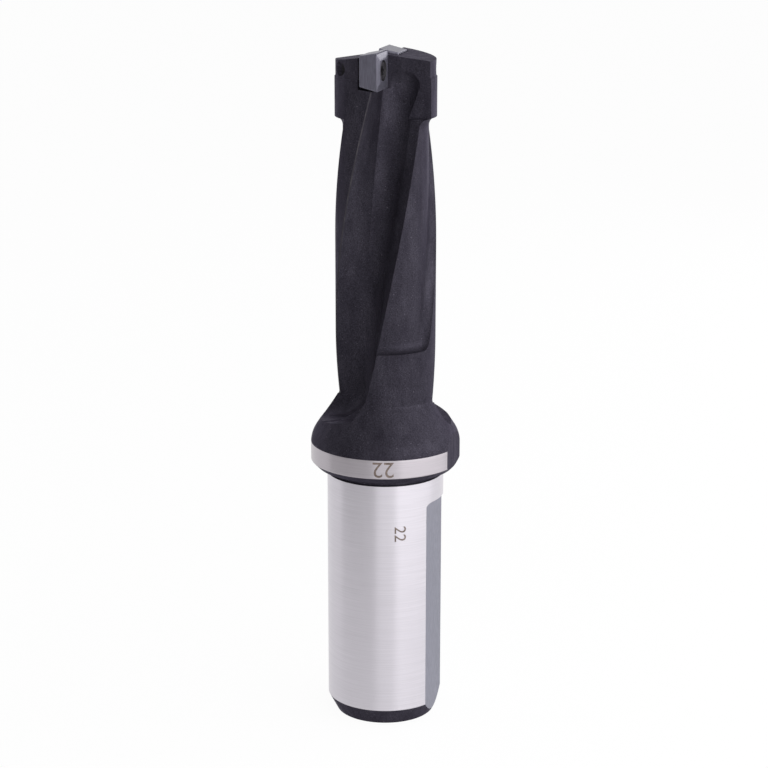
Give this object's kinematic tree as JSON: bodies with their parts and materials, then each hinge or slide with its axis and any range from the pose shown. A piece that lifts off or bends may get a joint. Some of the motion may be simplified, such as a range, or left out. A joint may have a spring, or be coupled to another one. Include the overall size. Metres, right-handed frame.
{
  "type": "indexable drill",
  "caption": "Indexable drill with a flatted cylindrical shank, a flange, helical flutes and square screwed-in carbide inserts at the head.",
  "frame": {"origin": "centre of the shank's end face, which is the middle of the underside", "axes": "+Z along the drill's axis to the cutting end, +X out of the clamping flat on the shank"},
  "size_m": [0.0312, 0.032, 0.1452],
  "materials": {
    "black_oxide_steel": "black oxide steel, with a bright ground shank and flange band",
    "carbide": "ground grey cemented carbide",
    "screw_steel": "dark alloy steel screw"
  },
  "bodies": {
    "root": {"drill_body": "black_oxide_steel", "peripheral_insert": "carbide", "central_insert": "carbide", "peripheral_insert_screw": "screw_steel", "central_insert_screw": "screw_steel"}
  },
  "joints": []
}
